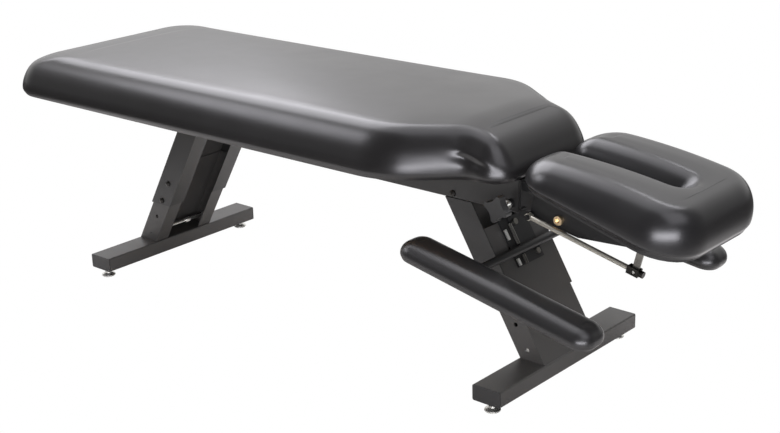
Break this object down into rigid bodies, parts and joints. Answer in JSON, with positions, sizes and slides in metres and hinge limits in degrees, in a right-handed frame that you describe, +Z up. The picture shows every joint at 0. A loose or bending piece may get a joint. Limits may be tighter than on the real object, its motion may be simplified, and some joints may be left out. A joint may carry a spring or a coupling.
{
  "type": "chiropractic table",
  "caption": "Padded treatment bench on two splayed telescoping legs, with a tilting slotted headpiece on a locking slide and two tilting armrests.",
  "frame": {"origin": "on the floor, below the middle of the table's overall length and width", "axes": "+X toward the headpiece, +Y across the bench to the side away from the tilt strut, +Z up"},
  "size_m": [2.0615, 0.603, 0.604],
  "materials": {
    "frame_black": "satin black powder coat",
    "lower_leg_black": "satin black powder coat",
    "cap_plastic": "matt moulded",
    "zinc_steel": "bright zinc plate",
    "dark_bolt": "dark oxide",
    "bare_steel": "plain steel",
    "nickel_tube": "pale satin nickel",
    "yellow_zinc": "yellow zinc plate",
    "knob_plastic": "fine texture",
    "plywood": "plain plywood",
    "black_board": "black painted plywood",
    "bench_cover": "grey-black vinyl over foam",
    "head_cover": "grey-black vinyl over foam",
    "arm_cover": "grey-black vinyl over foam"
  },
  "bodies": {
    "front_base": {"front_base_bar": "frame_black", "front_bar_caps": "cap_plastic", "front_lower_near_side": "lower_leg_black", "front_lower_far_side": "lower_leg_black", "front_lower_web": "lower_leg_black", "front_stay_rod": "zinc_steel"},
    "front_near_foot": {"front_near_foot": "zinc_steel"},
    "front_far_foot": {"front_far_foot": "zinc_steel"},
    "rear_base": {"rear_base_bar": "frame_black", "rear_bar_caps": "cap_plastic", "rear_lower_near_side": "lower_leg_black", "rear_lower_far_side": "lower_leg_black", "rear_lower_web": "lower_leg_black", "rear_stay_rod": "zinc_steel"},
    "rear_near_foot": {"rear_near_foot": "zinc_steel"},
    "rear_far_foot": {"rear_far_foot": "zinc_steel"},
    "bench": {"front_upper_near_side": "frame_black", "front_upper_far_side": "frame_black", "front_upper_web": "frame_black", "rear_upper_near_side": "frame_black", "rear_upper_far_side": "frame_black", "rear_upper_web": "frame_black", "height_bolts": "dark_bolt", "near_rail": "frame_black", "far_rail": "frame_black", "cross_members": "frame_black", "rail_bolts": "dark_bolt", "board_bolts": "bare_steel", "bench_board": "plywood", "bench_cushion": "bench_cover", "knob_boss": "frame_black", "armrest_mount_plate": "frame_black", "armrest_clamp_plate": "frame_black", "armrest_mount_bolts": "dark_bolt", "crossbar": "frame_black", "pivot_pins": "dark_bolt"},
    "hand_knob": {"hand_knob": "knob_plastic", "knob_stud": "zinc_steel"},
    "head_slide": {"slide_tubes": "bare_steel", "head_end_plate": "frame_black", "hinge_lugs": "frame_black", "strut_anchor": "frame_black"},
    "headpiece": {"near_head_bracket": "frame_black", "far_head_bracket": "frame_black", "bracket_spacer": "frame_black", "spacer_bolts": "yellow_zinc", "hinge_shaft": "zinc_steel", "head_board": "black_board", "head_cushion": "head_cover", "strut_link": "bare_steel", "link_pin": "zinc_steel"},
    "strut_tube": {"strut_tube": "nickel_tube"},
    "strut_rod": {"strut_rod": "nickel_tube", "rod_fork": "dark_bolt"},
    "near_armrest": {"near_arm_bracket": "frame_black", "near_arm_board": "plywood", "near_arm_pad": "arm_cover"},
    "far_armrest": {"far_arm_bracket": "frame_black", "far_arm_board": "plywood", "far_arm_pad": "arm_cover"}
  },
  "joints": [
    {"name": "bench_height", "type": "slide", "parent": "front_base", "child": "bench", "axis": [-0.5105, 0, 0.8599], "range_m": [-0.127, 0]},
    {"name": "rear_leg_height", "type": "slide", "parent": "bench", "child": "rear_base", "axis": [-0.5105, 0, -0.8599], "range_m": [-0.127, 0]},
    {"name": "front_near_foot_height", "type": "slide", "parent": "front_base", "child": "front_near_foot", "axis": [0, 0, 1], "range_m": [-0.005, 0.005]},
    {"name": "front_far_foot_height", "type": "slide", "parent": "front_base", "child": "front_far_foot", "axis": [0, 0, 1], "range_m": [-0.005, 0.005]},
    {"name": "rear_near_foot_height", "type": "slide", "parent": "rear_base", "child": "rear_near_foot", "axis": [0, 0, 1], "range_m": [-0.005, 0.005]},
    {"name": "rear_far_foot_height", "type": "slide", "parent": "rear_base", "child": "rear_far_foot", "axis": [0, 0, 1], "range_m": [-0.005, 0.005]},
    {"name": "hand_knob_turn", "type": "hinge", "parent": "bench", "child": "hand_knob", "pos_m": [0.55759, -0.1044, 0.43], "axis": [0, -1, 0], "continuous": true},
    {"name": "headpiece_reach", "type": "slide", "parent": "bench", "child": "head_slide", "axis": [1, 0, 0], "range_m": [0, 0.06]},
    {"name": "headpiece_tilt", "type": "hinge", "parent": "head_slide", "child": "headpiece", "pos_m": [0.62259, 0, 0.472], "axis": [0, -1, 0], "range_deg": [0, 26]},
    {"name": "strut_swing", "type": "hinge", "parent": "head_slide", "child": "strut_tube", "pos_m": [0.61659, -0.119, 0.415], "axis": [0, -1, 0], "range_deg": [-1, 27]},
    {"name": "strut_extension", "type": "slide", "parent": "strut_tube", "child": "strut_rod", "axis": [0.9735, 0, -0.2286], "range_m": [-0.002, 0.03]},
    {"name": "near_armrest_tilt", "type": "hinge", "parent": "bench", "child": "near_armrest", "pos_m": [0.53223, -0.1974, 0.29454], "axis": [0, -1, 0], "range_deg": [-25, 20]},
    {"name": "far_armrest_tilt", "type": "hinge", "parent": "bench", "child": "far_armrest", "pos_m": [0.53223, 0.1974, 0.29454], "axis": [0, -1, 0], "range_deg": [-28, 17]}
  ],
  "couplings": [
    {"joint": "rear_leg_height", "follows": "bench_height", "ratio": 1},
    {"joint": "strut_swing", "follows": "headpiece_tilt", "ratio": 0.988},
    {"joint": "strut_extension", "follows": "headpiece_tilt", "m_per_rad": 0.0571}
  ]
}
